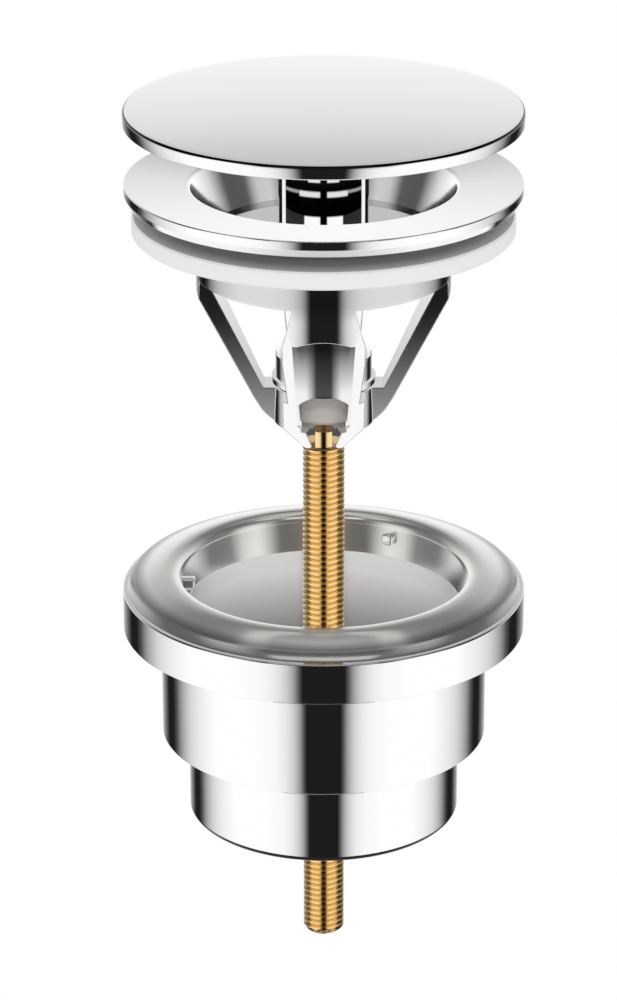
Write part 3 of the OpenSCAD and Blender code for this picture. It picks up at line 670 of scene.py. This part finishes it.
def make_thread():
    bm = bmesh.new()
    shape = [(0.0, 1.0), (0.10, 1.0), (0.44, 0.0), (0.56, 0.0), (0.90, 1.0), (1.0, 1.0)]
    turns = math.ceil((thread_top - rod_low.z) / thread_pitch) + 2
    start = thread_top + thread_pitch
    chain = [bm.verts.new((rod_radius - thread_depth * (1 - crest), 0, start - run * thread_pitch))
             for run, crest in shape]
    links = [bm.edges.new(pair) for pair in zip(chain, chain[1:])]
    bmesh.ops.spin(bm, geom=chain + links, cent=(0, 0, 0), axis=(0, 0, 1),
                   dvec=(0, 0, -thread_pitch / thread_steps), angle=-math.tau * turns,
                   steps=thread_steps * turns, use_merge=False, use_duplicate=False)
    bmesh.ops.remove_doubles(bm, verts=bm.verts, dist=2e-6)
    for level, side in ((thread_top, 1), (rod_low.z, -1)):
        cut = bmesh.ops.bisect_plane(bm, geom=bm.verts[:] + bm.edges[:] + bm.faces[:], dist=1e-7,
                                     plane_co=(0, 0, level), plane_no=(0, 0, side), clear_outer=True)
        rim = [e for e in cut["geom_cut"] if isinstance(e, bmesh.types.BMEdge)]
        bmesh.ops.triangle_fill(bm, use_beauty=True, edges=rim, normal=(0, 0, side))
    for vert in bm.verts:
        above_end = vert.co.z - rod_low.z
        reach = math.hypot(vert.co.x, vert.co.y)
        limit = rod_radius - rod_chamfer + above_end
        if above_end < rod_chamfer and reach > limit:
            vert.co.x *= limit / reach
            vert.co.y *= limit / reach
    return finish_mesh(bm, "threaded_rod", smooth_below=50)


threaded_rod = make_thread()
neck_radius = 2.75
neck_foot = thread_top * 1000 - 0.5
neck_top = rod_high.z * 1000
rod_neck = turned("rod_neck", [(0, neck_foot), (neck_radius, neck_foot), (neck_radius, neck_top - 1.1),
                               (neck_radius * 0.55, neck_top - 0.6), (0, neck_top)], steps=64, closed=False)

red_brass = (0.99, 0.68, 0.31, 1)
pale_brass = (1.0, 0.75, 0.38, 1)
brass, tree, shader = metal("bare_brass", red_brass, size=1500.0, low=0.12, high=0.22, bump=0.000003)[:3]
cloud = tree.nodes.new("ShaderNodeTexNoise")
cloud.inputs["Scale"].default_value = 120
cloud.inputs["Detail"].default_value = 3
place = tree.nodes.new("ShaderNodeTexCoord")
tree.links.new(place.outputs["Object"], cloud.inputs["Vector"])
tint = mixed(tree, "RGBA", cloud.outputs["Fac"], red_brass, pale_brass)
x = place_axes(tree)[0]
# Painted dark reflections: dark lines along the rod, down its middle and near both sides.
lines = ramp(tree, math_node(tree, "ABSOLUTE", x), line_span, line_shades, line_span)
brass_shade = math_node(tree, "MULTIPLY", radial_shade(tree, root_shades), lines)
tree.links.new(scaled(tree, tint, brass_shade), shader.inputs["Base Color"])
for piece in (threaded_rod, rod_neck):
    dress(piece, brass)
    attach(piece, "body")
    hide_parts("clamp_rod")

# The lower seal
# A bulging ring of translucent grey silicone that lies in the lower body's rim. Three small nubs
# inside keep it centred. Its skin is smooth and glossy, so it mirrors the tent softly. Outside its
# ridge, next to the rim, it has a painted shade.
seal_in = 24.1
seal_out = rim_radius - 0.89
ridge_radius = 32.2
edge_z = rim_top + 1.2
ridge_z = rim_top + 1.44
crest_rise = 1.74
nub_in, nub_out = 21.7, 24.7
nub_size = 2.0
nub_drop = 1.2
nub_round = 0.35
bulge = [(seal_in + (ridge_radius - seal_in) * t * t,
          edge_z + (ridge_z - edge_z) * t * t + crest_rise * math.sin(math.pi * t))
         for t in [i / 30 for i in range(30, -1, -1)]]
seal_ring = turned("seal_ring", [(cup_radius + 0.2, seal_base), (seal_out, seal_base), (seal_out, rim_top),
                                 ((seal_out + ridge_radius) / 2, rim_top + 0.4)] + bulge
                   + [(seal_in - 0.2, edge_z - 0.4)], steps=256)
bm = bmesh.new()
nub_at = Matrix.Translation(((nub_in + nub_out) / 2000, 0, (edge_z - nub_drop) / 1000))
nub_shape = Matrix.Diagonal(((nub_out - nub_in) / 1000, nub_size / 1000, nub_size / 1000, 1))
for angle in (60, 180, 300):
    bmesh.ops.create_cube(bm, size=1, matrix=Matrix.Rotation(math.radians(angle), 4, "Z") @ nub_at @ nub_shape)
bmesh.ops.bevel(bm, geom=bm.edges[:], offset=nub_round / 1000, segments=3, affect="EDGES", profile=0.5)
seal_nubs = finish_mesh(bm, "seal_nubs")
silicone_grey = (0.8, 0.79, 0.77)
silicone, tree, shader = new_material("silicone")
shader.inputs["Base Color"].default_value = (*silicone_grey, 1)
shader.inputs["Metallic"].default_value = 0.8
add_polish(tree, shader, 700.0, 0.14, 0.18, 0.0000005)
# Painted shade outside the ridge, darkest next to the rim.
rim_shade = radial_shade(tree, [(0.0298, 1.0), (0.0316, 0.4), (0.0325, 0.6)])
tree.links.new(scaled(tree, silicone_grey, rim_shade), shader.inputs["Base Color"])
for piece in (seal_ring, seal_nubs):
    dress(piece, silicone)
    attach(piece, "seal")
    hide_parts("lower_seal")

# What mirrors show
# The photograph's chrome mirrors the tent as if nothing stood near it, so these pieces are kept out of
# mirror reflections. They stay visible in the picture.
unmirrored_nodes = ("seal_carrier", "cap_seal", "cap_stud", "click_sleeve", "stop_ring", "plunger", "cam_ring",
                    "click_core", "core_gasket", "waste_body")
unmirrored_pieces = (cover_disc, spring_coil, rod_neck, lower_shell, outlet_thread, seal_ring, seal_nubs)
for piece in [nodes[name] for name in unmirrored_nodes] + list(unmirrored_pieces):
    piece.visible_glossy = False
